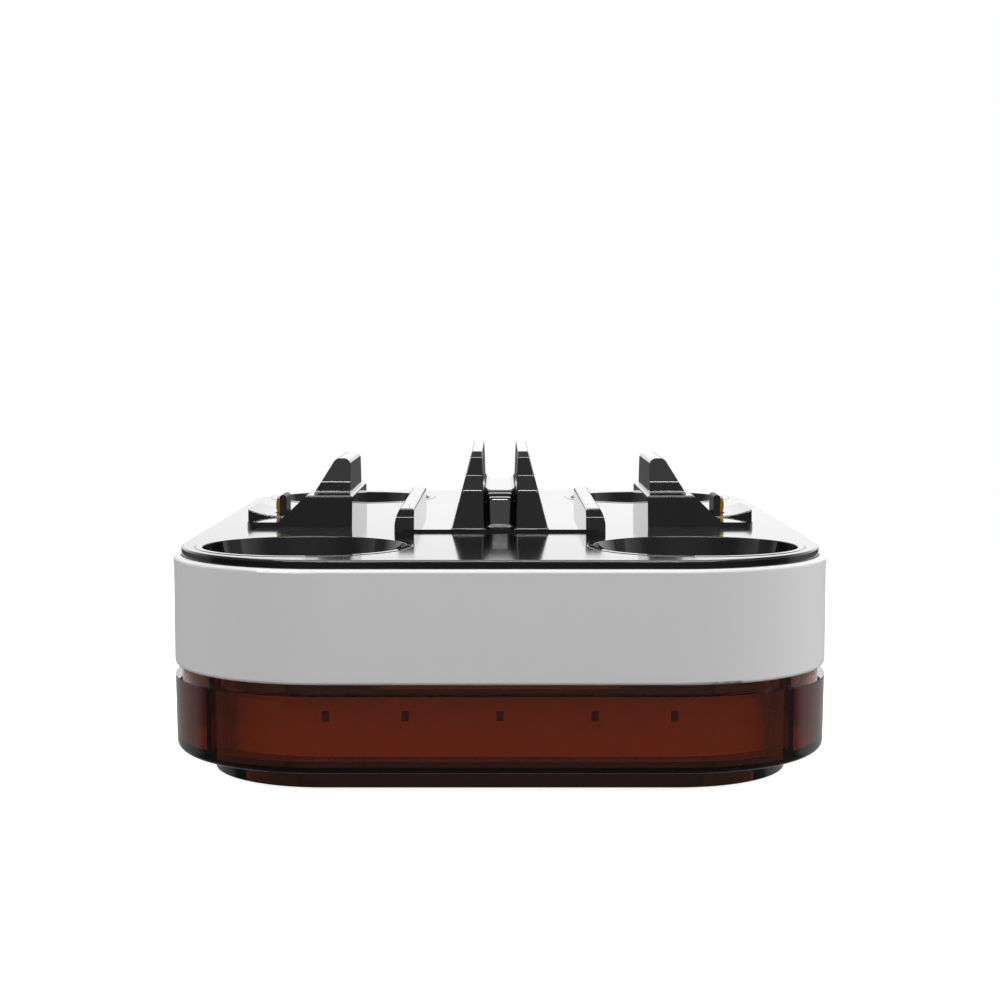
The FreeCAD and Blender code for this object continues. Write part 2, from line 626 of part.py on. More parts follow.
def make_dock():
    """Right-hand dock: a sloped block on a thin plinth, a tall tab and a collar round the contact."""
    base = PLATE_TOP
    inner = DOCK_INNER
    edge = inner + PLINTH_WIDTH
    slope_foot = inner + SLOPE_FOOT_FROM_INNER
    seat = base + PLINTH_HEIGHT
    front_view = profile_face(in_xz, (inner, base), [
        (edge, base), (edge, seat), (slope_foot, seat),
        (inner + BLOCK_WIDTH, base + BLOCK_TOP), (inner, base + BLOCK_TOP)])
    half = DOCK_LENGTH / 2
    side_view = profile_face(in_yz, (-half, base), [
        (half, base), (half - DOCK_END_LEAN, base + BLOCK_TOP),
        (DOCK_END_LEAN - half, base + BLOCK_TOP)])
    dock = along_y(front_view, DOCK_LENGTH).common(along_x(side_view, inner, edge))
    plan = Part.Face(rounded_wire(PLINTH_WIDTH, half, PLINTH_CORNER, base)).translated(V(inner, 0, 0))
    dock = dock.common(plan.extrude(V(0, 0, BLOCK_TOP)))
    dock = dock.makeFillet(DOCK_EDGE_RADIUS, level_edges(dock, base + BLOCK_TOP))
    dock = fuse_all(dock, [make_tab()])
    roots = edges_where(dock, lambda box: box.XMax < inner + BLOCK_WIDTH - DOCK_EDGE_RADIUS - NEAR
                        and box.ZLength < NEAR and abs(box.ZMin - base - BLOCK_TOP) < NEAR
                        and box.YLength < NEAR)
    dock = dock.makeFillet(TAB_ROOT_RADIUS, roots)
    dock = fuse_all(dock, [make_collar()])
    holes = [disc(SHANK_RADIUS, base, base + SCREW_BITE, *spot) for spot in dock_screw_points(1)]
    return cut_all(dock, holes + [contact_slot(base, base + BLOCK_TOP)])


def make_collar():
    """Raised collar round a contact, hollow on top and highest at its outer edge."""
    base = PLATE_TOP
    start = DOCK_INNER + COLLAR_FROM_INNER
    dip = DOCK_INNER + COLLAR_DIP_FROM_INNER
    stop = DOCK_INNER + COLLAR_OUTER_FROM_INNER
    view = profile_face(in_xz, (start, base), [
        (stop, base), (stop, base + COLLAR_OUTER_TOP),
        ((dip, base + COLLAR_DIP_TOP), (start, base + COLLAR_INNER_TOP))])
    collar = along_y(view, COLLAR_LENGTH)
    rims = edges_where(collar, lambda box: box.YLength < NEAR and box.XLength > COLLAR_EDGE_RADIUS
                       and box.ZMax > base + NEAR)
    return collar.makeFillet(COLLAR_EDGE_RADIUS, rims)


def make_tab():
    """Tall tab on a dock's block, upright inside, leaning outside, with a round crown."""
    base = PLATE_TOP
    low = base + BLOCK_TOP / 2
    foot = base + BLOCK_TOP
    step = base + TAB_STEP_HEIGHT
    high = base + TAB_TOP
    inner = DOCK_INNER + TAB_SETBACK
    front_view = profile_face(in_xz, (inner, low), [
        (inner + TAB_BASE_WIDTH, low), (inner + TAB_BASE_WIDTH, foot),
        (inner + TAB_TOP_WIDTH, high), (inner, high)])
    half = TAB_LENGTH / 2
    shoulder = half - TAB_STEP_LEAN
    top = half - TAB_END_LEAN
    side_view = profile_face(in_yz, (-half, low), [
        (half, low), (half, foot), (shoulder, step), (top, high),
        (-top, high), (-shoulder, step), (-half, foot)])
    tab = along_y(front_view, TAB_LENGTH).common(along_x(side_view, inner, inner + TAB_BASE_WIDTH))
    bends = edges_where(tab, lambda box: box.YLength < NEAR and abs(box.ZMin - step) < NEAR
                        and abs(box.ZMax - step) < NEAR)
    tab = tab.makeFillet(TAB_BEND_RADIUS, bends)
    crown = edges_where(tab, lambda box: box.ZLength < NEAR and box.ZMin > high - NEAR
                        and box.YLength > TAB_CROWN_RADIUS)
    return tab.makeFillet(TAB_CROWN_RADIUS, crown)


def make_contact_block():
    """Right-hand contact carrier: a tongue through the dock and a flange under the plate."""
    low = CONTACT_BOARD_TOP
    high = PLATE_TOP + CONTACT_TOP
    tongue = block(CONTACT_THICKNESS, CONTACT_WIDTH, high - low, (CONTACT_X, 0, low))
    crown = edges_where(tongue, lambda box: box.ZMin > high - NEAR and box.YLength > CONTACT_THICKNESS)
    tongue = tongue.makeFillet(CONTACT_TOP_RADIUS, crown)
    width = CONTACT_THICKNESS + (BLADE_THICKNESS + BLADE_BOW + SLIP + CONTACT_FLANGE) * 2
    flange = block(width, CONTACT_WIDTH + CONTACT_FLANGE, CONTACT_FLANGE_THICKNESS, (CONTACT_X, 0, low))
    piece = fuse_all(tongue, [flange])
    return cut_all(piece, [blade_channel(shift) for shift in blade_shifts()])


def blade_shifts():
    """Places of the blades across a contact."""
    return [-BLADE_PITCH / 2, BLADE_PITCH / 2]


def blade_channel(shift):
    """Way through a contact's flange for one blade."""
    face_x = CONTACT_X + CONTACT_THICKNESS / 2
    width = BLADE_WIDTH + SLIP * 2
    return block(BLADE_THICKNESS + SLIP, width, CONTACT_FLANGE_THICKNESS,
                 (face_x + (BLADE_THICKNESS + SLIP) / 2, shift, CONTACT_BOARD_TOP))


def make_contact_blades():
    """Right-hand pair of sprung blades: a straight stem and a bowed tip on the outer face."""
    face_x = CONTACT_X + CONTACT_THICKNESS / 2
    stem_top = PLATE_TOP + COLLAR_DIP_TOP
    tip = PLATE_TOP + CONTACT_TOP - CONTACT_THICKNESS / 2
    bow_z = (stem_top + tip) / 2
    back = face_x + BLADE_THICKNESS
    view = profile_face(in_xz, (face_x, CONTACT_BOARD_TOP), [
        (back, CONTACT_BOARD_TOP), (back, stem_top), ((back + BLADE_BOW, bow_z), (back, tip)),
        (face_x, tip)])
    blade = along_y(view, BLADE_WIDTH)
    return Part.makeCompound([blade.translated(V(0, shift, 0)) for shift in blade_shifts()])


def make_contact_board():
    """Right-hand small board under the plate, with holes for its two screws."""
    centre = (CONTACT_X, 0, CONTACT_BOARD_BOTTOM)
    board = block(CONTACT_BOARD_WIDTH, CONTACT_BOARD_LENGTH, CONTACT_BOARD_THICKNESS, centre)
    levels = (CONTACT_BOARD_BOTTOM, CONTACT_BOARD_TOP)
    holes = [disc(SMALL_SHANK_RADIUS + HOLE_GAP, *levels, *spot) for spot in contact_screw_points(1)]
    return cut_all(board, holes)


def make_main_board():
    """Board on four posts between the rear wells."""
    middle = (BOARD_FRONT + BOARD_BACK) / 2
    board = block(BOARD_WIDTH, BOARD_LENGTH, BOARD_THICKNESS, (0, middle, BOARD_BOTTOM))
    return cut_all(board, [disc(SMALL_SHANK_RADIUS + HOLE_GAP, BOARD_BOTTOM, BOARD_TOP, *spot)
                           for spot in board_screw_points()])


def make_board_parts():
    """Control chips and a coil on the main board."""
    middle = (BOARD_FRONT + BOARD_BACK) / 2
    spots = [(side * CHIP_SIZE, middle + CHIP_SIZE, BOARD_TOP) for side in SIDES]
    chips = [block(CHIP_SIZE, CHIP_SIZE, CHIP_HEIGHT, spot) for spot in spots]
    coil = disc(COIL_RADIUS, BOARD_TOP, BOARD_TOP + COIL_HEIGHT, 0, middle - COIL_RADIUS)
    return Part.makeCompound(chips + [coil])


def make_lead_plugs():
    """Plug housings at the front edge of the main board, one for each lead."""
    spots = [(step * PLUG_PITCH, BOARD_FRONT + PLUG_DEPTH / 2, BOARD_TOP) for step in (-1, 0, 1)]
    return Part.makeCompound([block(PLUG_WIDTH, PLUG_DEPTH, PLUG_HEIGHT, spot) for spot in spots])


def make_power_socket():
    """Folded metal shell of the power socket, open at the back of the stand."""
    mouth = BASE_DEPTH / 2 - SOCKET_RECESS
    shell = socket_slot(0, mouth - SOCKET_LENGTH, mouth)
    return shell.cut(socket_slot(-SOCKET_SHEET, mouth - SOCKET_LENGTH + SOCKET_SHEET, mouth))


def make_socket_tongue():
    """Thin tongue inside the power socket."""
    start = BASE_DEPTH / 2 - SOCKET_RECESS - SOCKET_LENGTH + SOCKET_SHEET
    length = SOCKET_LENGTH - SOCKET_SHEET - TONGUE_SETBACK
    low = BOARD_TOP + SOCKET_HEIGHT / 2 - TONGUE_THICKNESS / 2
    return block(TONGUE_WIDTH, length, TONGUE_THICKNESS, (0, start + length / 2, low))


def make_lead(points):
    """Round lead along straight runs that are joined by tangent arcs."""
    spots = [V(*point) for point in points]
    edges = []
    here = spots[0]
    for before, corner, after in zip(spots, spots[1:], spots[2:]):
        back = (before - corner).normalize()
        on = (after - corner).normalize()
        half_turn = (math.pi - back.getAngle(on)) / 2
        reach = LEAD_BEND * math.tan(half_turn)
        start = corner + back * reach
        stop = corner + on * reach
        inward = (back + on).normalize()
        crest = corner + inward * (LEAD_BEND / math.cos(half_turn) - LEAD_BEND)
        edges.append(Part.LineSegment(here, start).toShape())
        edges.append(Part.Arc(start, crest, stop).toShape())
        here = stop
    edges.append(Part.LineSegment(here, spots[-1]).toShape())
    ring = Part.Wire(Part.Circle(spots[0], spots[1] - spots[0], LEAD_RADIUS).toShape())
    return Part.Wire(edges).makePipeShell([ring], True, False)


def make_contact_lead():
    """Right-hand lead from a contact board down and back to the main board."""
    return make_lead([(CONTACT_X, 0, CONTACT_BOARD_BOTTOM), (CONTACT_X, 0, LEAD_LEVEL),
                      (PLUG_PITCH, LEAD_BEND * 3, LEAD_LEVEL), (PLUG_PITCH, BOARD_FRONT, LEAD_LEVEL)])


def make_led_lead():
    """Lead from the main board down through the lower deck to the back of the light strip."""
    y = led_lead_y()
    return make_lead([(0, BOARD_FRONT, LEAD_LEVEL), (0, y, LEAD_LEVEL), (0, y, STRIP_CENTRE),
                      (0, BASE_DEPTH / 2 - REFLECTOR_INSET, STRIP_CENTRE)])


def foot_point(side, end):
    """Centre of one rubber foot, in a corner of the pedestal."""
    reach = FOOT_OFFSET - CORNER_RADIUS
    return side * (BASE_WIDTH / 2 + reach), end * (BASE_DEPTH / 2 + reach)


def make_foot(side, end):
    """Rubber foot pressed into the pedestal, with a soft lower edge."""
    foot = disc(FOOT_RADIUS, 0, FOOT_PROUD + FOOT_RECESS, *foot_point(side, end))
    return foot.makeFillet(FOOT_PROUD / 2, level_edges(foot, 0))


def screw(spot, seat, length, shank, head_radius, head_height):
    """Screw that points up, with the top of its head on a level and a recess below."""
    piece = disc(shank, seat, seat + length, *spot).fuse(disc(head_radius, seat - head_height, seat, *spot))
    low = seat - head_height
    arms = [block(RECESS_RADIUS * 2, RECESS_ARM, RECESS_DEPTH, (*spot, low)),
            block(RECESS_ARM, RECESS_RADIUS * 2, RECESS_DEPTH, (*spot, low))]
    return cut_all(piece, arms)


def screws_up(spots, seat, length):
    """Group of equal screws."""
    sizes = (SHANK_RADIUS, HEAD_RADIUS, HEAD_HEIGHT)
    return Part.makeCompound([screw(spot, seat, length, *sizes) for spot in spots])


def small_screws(spots, seat, length, turned):
    """Group of equal small screws, turned over where they are driven from above."""
    group = []
    for spot in spots:
        piece = screw(spot, seat, length, SMALL_SHANK_RADIUS, SMALL_HEAD_RADIUS, SMALL_HEAD_HEIGHT)
        if turned:
            piece.rotate(V(*spot, seat), V(1, 0, 0), 180)
        group.append(piece)
    return Part.makeCompound(group)


def write(name, shape):
    """Write one named piece, as a solid or a group of solids."""
    solids = shape.Solids
    piece = solids[0] if len(solids) == 1 else Part.makeCompound(solids)
    assert solids and piece.isValid(), name
    piece.exportStep(os.path.join("parts", name + ".step"))


def main():
    """Build every piece and write it."""
    os.makedirs("parts", exist_ok=True)
    write("light_tray", make_light_tray())
    write("reflector_ring", make_reflector())
    write("led_strip", make_led_strip())
    write("led_chips", make_led_chips())
    write("mid_band", make_mid_band())
    write("lower_deck", make_lower_deck())
    write("top_plate", make_top_plate())
    for side, end in QUARTERS:
        corner = f"{'front' if end < 0 else 'rear'}_{'left' if side < 0 else 'right'}"
        write(f"well_cup_{corner}", make_well_cup(side, end))
        write(f"foot_{corner}", make_foot(side, end))
    write("console_cradle", make_console_cradle())
    pairs = {"dock": make_dock(), "contact_block": make_contact_block(),
             "contact_blades": make_contact_blades(), "contact_board": make_contact_board(),
             "contact_lead": make_contact_lead()}
    for name, shape in pairs.items():
        write(f"right_{name}", shape)
        write(f"left_{name}", left_of(shape))
    write("main_board", make_main_board())
    write("board_parts", make_board_parts())
    write("lead_plugs", make_lead_plugs())
    write("power_socket", make_power_socket())
    write("socket_tongue", make_socket_tongue())
    write("led_lead", make_led_lead())
    bosses = [corner_point(BOSS_INSET, *quarter) for quarter in QUARTERS]
    posts = [(side * DECK_POST_X, end * DECK_POST_Y) for side, end in QUARTERS]
    docks = dock_screw_points(-1) + dock_screw_points(1)
    contacts = contact_screw_points(-1) + contact_screw_points(1)
    write("tray_screws", screws_up(bosses, TRAY_RIM - SCREW_STOP, SCREW_STOP + NECK_HEIGHT + SCREW_BITE))
    write("deck_screws", screws_up(posts, POST_TOP - SCREW_STOP, SCREW_STOP + SCREW_BITE))
    write("cradle_screws", screws_up(cradle_screw_points(), PLATE_BOTTOM, PLATE_THICKNESS + SCREW_BITE))
    write("dock_screws", screws_up(docks, PLATE_BOTTOM, PLATE_THICKNESS + SCREW_BITE))
    reach = CONTACT_BOARD_THICKNESS + SMALL_BITE
    write("contact_screws", small_screws(contacts, CONTACT_BOARD_BOTTOM, reach, False))
    reach = BOARD_THICKNESS + SMALL_BITE
    write("board_screws", small_screws(board_screw_points(), BOARD_TOP, reach, True))


main()
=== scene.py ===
import logging
import math
from dataclasses import dataclass, replace
from enum import Enum
from typing import Any, Mapping, Sequence

import bpy
import numpy as np
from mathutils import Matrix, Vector


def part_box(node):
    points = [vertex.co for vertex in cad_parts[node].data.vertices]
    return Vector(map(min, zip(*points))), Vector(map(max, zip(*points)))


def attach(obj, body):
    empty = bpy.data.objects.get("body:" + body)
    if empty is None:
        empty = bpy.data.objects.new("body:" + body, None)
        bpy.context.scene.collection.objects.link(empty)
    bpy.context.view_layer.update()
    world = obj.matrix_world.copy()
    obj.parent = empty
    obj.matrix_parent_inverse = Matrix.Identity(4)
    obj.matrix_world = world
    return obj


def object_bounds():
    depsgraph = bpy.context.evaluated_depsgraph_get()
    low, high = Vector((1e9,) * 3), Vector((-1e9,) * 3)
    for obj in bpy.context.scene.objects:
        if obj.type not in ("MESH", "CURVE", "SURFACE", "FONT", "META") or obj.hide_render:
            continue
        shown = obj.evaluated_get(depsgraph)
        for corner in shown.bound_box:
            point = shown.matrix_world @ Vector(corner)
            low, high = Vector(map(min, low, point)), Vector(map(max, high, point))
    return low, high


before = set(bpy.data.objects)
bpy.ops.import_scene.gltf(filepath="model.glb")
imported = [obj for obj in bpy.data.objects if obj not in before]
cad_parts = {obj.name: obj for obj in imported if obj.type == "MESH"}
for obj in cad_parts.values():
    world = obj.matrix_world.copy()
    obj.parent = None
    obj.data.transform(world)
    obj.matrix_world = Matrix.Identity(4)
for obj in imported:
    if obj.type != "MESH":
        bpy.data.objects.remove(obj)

CAD_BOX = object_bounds()
MM = 0.001
LOG = logging.getLogger("stand")

# A Mix node's colour sockets, by number because their names repeat
MIX_FACTOR, MIX_FIRST, MIX_SECOND, MIX_RESULT = 0, 6, 7, 2
# Steps of finer noise in a grain, and how much each finer step counts
GRAIN_DETAIL, GRAIN_ROUGHNESS = 4.0, 0.6
# Brushing draws a grain out to about 16 times its width
BRUSH_STRETCH = 0.06
# Etched tracks run between cells of three grains, and fade out this share of a cell into it
TRACK_CELL_GRAINS, TRACK_SHARE = 3, 0.12


class Pattern(Enum):
    """How a surface was made, which sets the pattern that is laid over it."""

    POLISHED = "polished"
    MOULDED = "moulded"
    BRUSHED = "brushed"
    CLEAR = "clear"
    ETCHED = "etched"


def linear(hex_colour: str) -> tuple[float, float, float, float]:
    """Turn an sRGB hex colour into linear light, by the standard sRGB curve.

    Args:
        hex_colour: six hex digits after a hash.
    Returns:
        Red, green, blue and a full alpha.
    """
    parts = np.array([int(hex_colour[i:i + 2], 16) for i in (1, 3, 5)]) / 255
    light = np.where(parts <= 0.04045, parts / 12.92, ((parts + 0.055) / 1.055) ** 2.4)
    return (*(float(v) for v in light), 1.0)


def per_metre(size_mm: float) -> float:
    """Pattern scale that gives one cell for each size.

    Args:
        size_mm: size of a cell, in mm.
    Returns:
        Cells in a metre.
    """
    return 1.0 / (size_mm * MM)


def add_node(tree: bpy.types.NodeTree, kind: str, settings: Mapping[Any, Any] | None = None,
             links: Mapping[Any, bpy.types.NodeSocket] | None = None) -> bpy.types.Node:
    """Add one node with its settings and its incoming links.

    Args:
        tree: node tree that takes the node.
        kind: Blender's type name for the node.
        settings: values by property name, or else by input name or number.
        links: sources by input name or number.
    Returns:
        The new node.
    """
    node = tree.nodes.new(kind)
    for name, value in (settings or {}).items():
        if isinstance(name, str) and hasattr(node, name):
            setattr(node, name, value)
        else:
            node.inputs[name].default_value = value
    for name, source in (links or {}).items():
        tree.links.new(source, node.inputs[name])
    return node


@dataclass(frozen=True)
class Finish:
    """One real material: its colour, its gloss and the fine pattern its making leaves.

    The grain is a noise whose cell is grain_mm across. It moves the roughness by
    rough_swing, shifts the colour towards second_hex by tint_swing, and raises the
    surface by relief_mm. Inside a clear material, light fades towards depth_hex by
    depth_per_mm. Above painted_shade_above_mm the colour can be painted_shade_hex, a dark band of
    painted shade.
    """

    name: str
    colour_hex: str
    roughness: float
    pattern: Pattern
    grain_mm: float
    relief_mm: float
    rough_swing: float
    second_hex: str = ""
    tint_swing: float = 0.0
    ior: float = 1.5
    metallic: float = 0.0
    transmission: float = 0.0
    specular: float = 0.5
    coat: float = 0.0
    coat_roughness: float = 0.05
    glow: float = 0.0
    depth_hex: str = ""
    depth_per_mm: float = 0.0
    # painted shade: a dark colour laid over the surface above a given height
    painted_shade_hex: str = ""
    painted_shade_above_mm: float = 0.0

    def stretch(self) -> tuple[float, float, float]:
        """Stretch of the pattern along the three axes; brushing draws it out along X.

        Returns:
            Scale of the coordinates along X, Y and Z.
        """
        along = BRUSH_STRETCH if self.pattern is Pattern.BRUSHED else 1.0
        return (along, 1.0, 1.0)

    def pattern_socket(self, tree: bpy.types.NodeTree,
                       place: bpy.types.NodeSocket) -> bpy.types.NodeSocket:
        """Add the nodes of the fine pattern.

        Args:
            tree: node tree of the material.
            place: object coordinates.
        Returns:
            The pattern, from 0 to 1.
        """
        turned = add_node(tree, "ShaderNodeMapping", {"Scale": self.stretch()}, {"Vector": place})
        where = {"Vector": turned.outputs["Vector"]}
        if self.pattern is not Pattern.ETCHED:
            grain = add_node(tree, "ShaderNodeTexNoise",
                             {"Scale": per_metre(self.grain_mm), "Detail": GRAIN_DETAIL,
                              "Roughness": GRAIN_ROUGHNESS}, where)
            return grain.outputs["Fac"]
        cells = add_node(tree, "ShaderNodeTexVoronoi",
                         {"feature": "DISTANCE_TO_EDGE",
                          "Scale": per_metre(self.grain_mm * TRACK_CELL_GRAINS)}, where)
        tracks = add_node(tree, "ShaderNodeMapRange", {"From Max": TRACK_SHARE},
                          {"Value": cells.outputs["Distance"]})
        return tracks.outputs["Result"]

    def colour_links(self, tree: bpy.types.NodeTree, place: bpy.types.NodeSocket,
                     source: bpy.types.NodeSocket) -> dict[str, bpy.types.NodeSocket]:
        """Add the nodes that vary the colour.

        Args:
            tree: node tree of the material.
            place: object coordinates.
            source: the fine pattern.
        Returns:
            A link for the shader's colour, or none where the colour is even.
        """
        if not self.second_hex:
            return {}
        fade = add_node(tree, "ShaderNodeMapRange", {"To Max": self.tint_swing}, {"Value": source})
        tint = add_node(tree, "ShaderNodeMix",
                        {"data_type": "RGBA", MIX_FIRST: linear(self.colour_hex),
                         MIX_SECOND: linear(self.second_hex)},
                        {MIX_FACTOR: fade.outputs["Result"]})
        colour = tint.outputs[MIX_RESULT]
        # Painted shade: above the given height the colour is mixed to a dark one.
        if self.painted_shade_hex:
            parts = add_node(tree, "ShaderNodeSeparateXYZ", links={"Vector": place})
            above = add_node(tree, "ShaderNodeMath",
                             {"operation": "GREATER_THAN", 1: self.painted_shade_above_mm * MM},
                             {0: parts.outputs["Z"]})
            painted_shade_band = add_node(tree, "ShaderNodeMix",
                            {"data_type": "RGBA", MIX_SECOND: linear(self.painted_shade_hex)},
                            {MIX_FACTOR: above.outputs["Value"], MIX_FIRST: colour})
            colour = painted_shade_band.outputs[MIX_RESULT]
        return {"Base Color": colour}

    def build(self) -> bpy.types.Material:
        """Make the node material.

        Returns:
            A material whose constants sit on the shader and whose pattern is in object space.
        """
        material = bpy.data.materials.new(self.name)
        material.use_nodes = True
        tree = material.node_tree
        tree.nodes.clear()
        place = add_node(tree, "ShaderNodeTexCoord").outputs["Object"]
        source = self.pattern_socket(tree, place)
        rough = add_node(tree, "ShaderNodeMapRange",
                         {"To Min": max(self.roughness - self.rough_swing, 0.0),
                          "To Max": self.roughness + self.rough_swing}, {"Value": source})
        bump = add_node(tree, "ShaderNodeBump",
                        {"Strength": 1.0, "Distance": self.relief_mm * MM}, {"Height": source})
        links = {"Roughness": rough.outputs["Result"], "Normal": bump.outputs["Normal"],
                 **self.colour_links(tree, place, source)}
        shader = add_node(tree, "ShaderNodeBsdfPrincipled", {
            "Base Color": linear(self.colour_hex), "Metallic": self.metallic, "IOR": self.ior,
            "Transmission Weight": self.transmission, "Specular IOR Level": self.specular,
            "Coat Weight": self.coat, "Coat Roughness": self.coat_roughness,
            "Emission Color": linear(self.colour_hex), "Emission Strength": self.glow}, links)
        ends = {"Surface": shader.outputs["BSDF"]}
        if self.depth_hex:
            depth = add_node(tree, "ShaderNodeVolumeAbsorption",
                             {"Color": linear(self.depth_hex),
                              "Density": per_metre(1.0 / self.depth_per_mm)})
            ends["Volume"] = depth.outputs["Volume"]
        add_node(tree, "ShaderNodeOutputMaterial", links=ends)
        return material


# Tinted acrylic, injection moulded and polished: clear, warm brown, with sharp edge glints
AMBER = Finish("tinted_acrylic", "#e6ae86", roughness=0.02, pattern=Pattern.CLEAR, grain_mm=6.0,
               relief_mm=0.0006, rough_swing=0.015, ior=1.49, transmission=1.0,
               depth_hex="#cc9069", depth_per_mm=0.56)
# White ABS from an etched mould: soft sheen and a very fine grain, drawn coarser than life
WHITE = Finish("white_satin_abs", "#ebebec", roughness=0.42, pattern=Pattern.MOULDED, grain_mm=0.5,
               relief_mm=0.004, rough_swing=0.05, second_hex="#e4e4e6", tint_swing=0.4)
# Black ABS from a mirror-polished mould: sharp reflections with a trace of ripple
BLACK = Finish("gloss_black_abs", "#08080a", roughness=0.035, pattern=Pattern.POLISHED,
               grain_mm=7.0, relief_mm=0.0005, rough_swing=0.02, ior=1.52)
# The same plastic on the wide plate, where the polish is a little softer
PLATE = Finish("gloss_black_plate", "#08080a", roughness=0.1, pattern=Pattern.POLISHED,
               grain_mm=9.0, relief_mm=0.0005, rough_swing=0.02, ior=1.52)
# Black nylon of the contact carrier: dull and slightly grainy
NYLON = Finish("black_nylon", "#0c0c0d", roughness=0.45, pattern=Pattern.MOULDED, grain_mm=0.4,
               relief_mm=0.004, rough_swing=0.06, specular=0.25)
# Gold flash on spring bronze: bright, drawn along the blade
GOLD = Finish("gold_plate", "#d9a13a", roughness=0.2, pattern=Pattern.BRUSHED, grain_mm=0.25,
              relief_mm=0.002, rough_swing=0.06, second_hex="#b9812a", tint_swing=0.4,
              metallic=1.0)
# White polystyrene skirt: matt, bounces the light; its top edge is painted black, as painted
# shade at the dark joint under the white band
PALE = Finish("pale_polystyrene_painted_shade", "#f2efe9", roughness=0.6, pattern=Pattern.MOULDED, grain_mm=1.2,
              relief_mm=0.004, rough_swing=0.05, second_hex="#e8e4dc", tint_swing=0.5,
              painted_shade_hex="#0d0c0c")
# White solder mask on flexible film: pale and even, with a faint sheen
FILM = Finish("white_film", "#f0ece3", roughness=0.5, pattern=Pattern.MOULDED, grain_mm=0.8,
              relief_mm=0.003, rough_swing=0.05, second_hex="#e2ddd2", tint_swing=0.5)
# Moulded light package: dark, with a little gloss
PACKAGE = Finish("light_package", "#2a2622", roughness=0.3, pattern=Pattern.MOULDED, grain_mm=0.3,
                 relief_mm=0.002, rough_swing=0.05)
# Resin window of a light: smoky when unlit
RESIN = Finish("light_resin", "#4a4438", roughness=0.15, pattern=Pattern.POLISHED, grain_mm=0.4,
               relief_mm=0.001, rough_swing=0.04, second_hex="#37322a", tint_swing=0.5)
# Black ABS inside, straight from the tool: matt
INNER = Finish("inner_black_abs", "#17171a", roughness=0.55, pattern=Pattern.MOULDED, grain_mm=0.6,
               relief_mm=0.006, rough_swing=0.06, second_hex="#101013", tint_swing=0.5)
# Glass laminate with green lacquer: fine tracks under a gloss coat
LAMINATE = Finish("green_laminate", "#0f5a34", roughness=0.35, pattern=Pattern.ETCHED, grain_mm=0.9,
                  relief_mm=0.01, rough_swing=0.05, second_hex="#1f7a4c", tint_swing=0.7, coat=0.4)
# Epoxy moulding compound of chips: dull, nearly black
EPOXY = Finish("chip_epoxy", "#1b1b1d", roughness=0.5, pattern=Pattern.MOULDED, grain_mm=0.2,
               relief_mm=0.003, rough_swing=0.05, second_hex="#252527", tint_swing=0.5)
# Cream nylon of plug housings: pale, with a soft sheen
PLUG = Finish("cream_nylon", "#d8d3c2", roughness=0.45, pattern=Pattern.MOULDED, grain_mm=0.5,
              relief_mm=0.004, rough_swing=0.05, second_hex="#cbc5b1", tint_swing=0.5)
# Nickel-plated sheet: pale grey metal with faint drawing lines
NICKEL = Finish("nickel_sheet", "#b9b9bb", roughness=0.26, pattern=Pattern.BRUSHED, grain_mm=0.3,
                relief_mm=0.003, rough_swing=0.08, second_hex="#9d9da0", tint_swing=0.5,
                metallic=1.0)
# PVC sheath: black, with a soft sheen
SHEATH = Finish("pvc_sheath", "#161617", roughness=0.45, pattern=Pattern.MOULDED, grain_mm=0.8,
                relief_mm=0.004, rough_swing=0.06)
# Moulded rubber of the feet: dull and slightly rough
RUBBER = Finish("foot_rubber", "#1d1d1e", roughness=0.75, pattern=Pattern.MOULDED, grain_mm=0.5,
                relief_mm=0.012, rough_swing=0.08, second_hex="#262627", tint_swing=0.6)
# Zinc plate on screws: bluish grey metal
ZINC = Finish("zinc_plate", "#a9a9ad", roughness=0.3, pattern=Pattern.BRUSHED, grain_mm=0.25,
              relief_mm=0.002, rough_swing=0.1, second_hex="#8a8a90", tint_swing=0.5, metallic=1.0)
# Matt pale acrylic of a light table, lit from below
PAPER = Finish("light_table", "#f6f6f5", roughness=0.8, pattern=Pattern.MOULDED, grain_mm=3.0,
               relief_mm=0.004, rough_swing=0.03, second_hex="#f2f2f1", tint_swing=0.5, glow=0.95)


class Wardrobe:
    """Builds each finish once and hands its material to the pieces that wear it."""

    def __init__(self) -> None:
        """Start with no material built."""
        self.made: dict[str, bpy.types.Material] = {}

    def wear(self, piece: bpy.types.Object, finish: Finish) -> None:
        """Put a finish in every material slot of a piece.

        Args:
            piece: object to dress.
            finish: what it is made of.
        """
        if finish.name not in self.made:
            self.made[finish.name] = finish.build()
        slots = piece.data.materials
        if not slots:
            slots.append(None)
        for i in range(len(slots)):
            slots[i] = self.made[finish.name]
        LOG.info("%s wears %s", piece.name, finish.name)

    def wear_nodes(self, names: Sequence[str], finish: Finish) -> None:
        """Put a finish on some of the CAD nodes.

        Args:
            names: node names.
            finish: what they are made of.
        """
        for name in names:
            self.wear(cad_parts[name], finish)


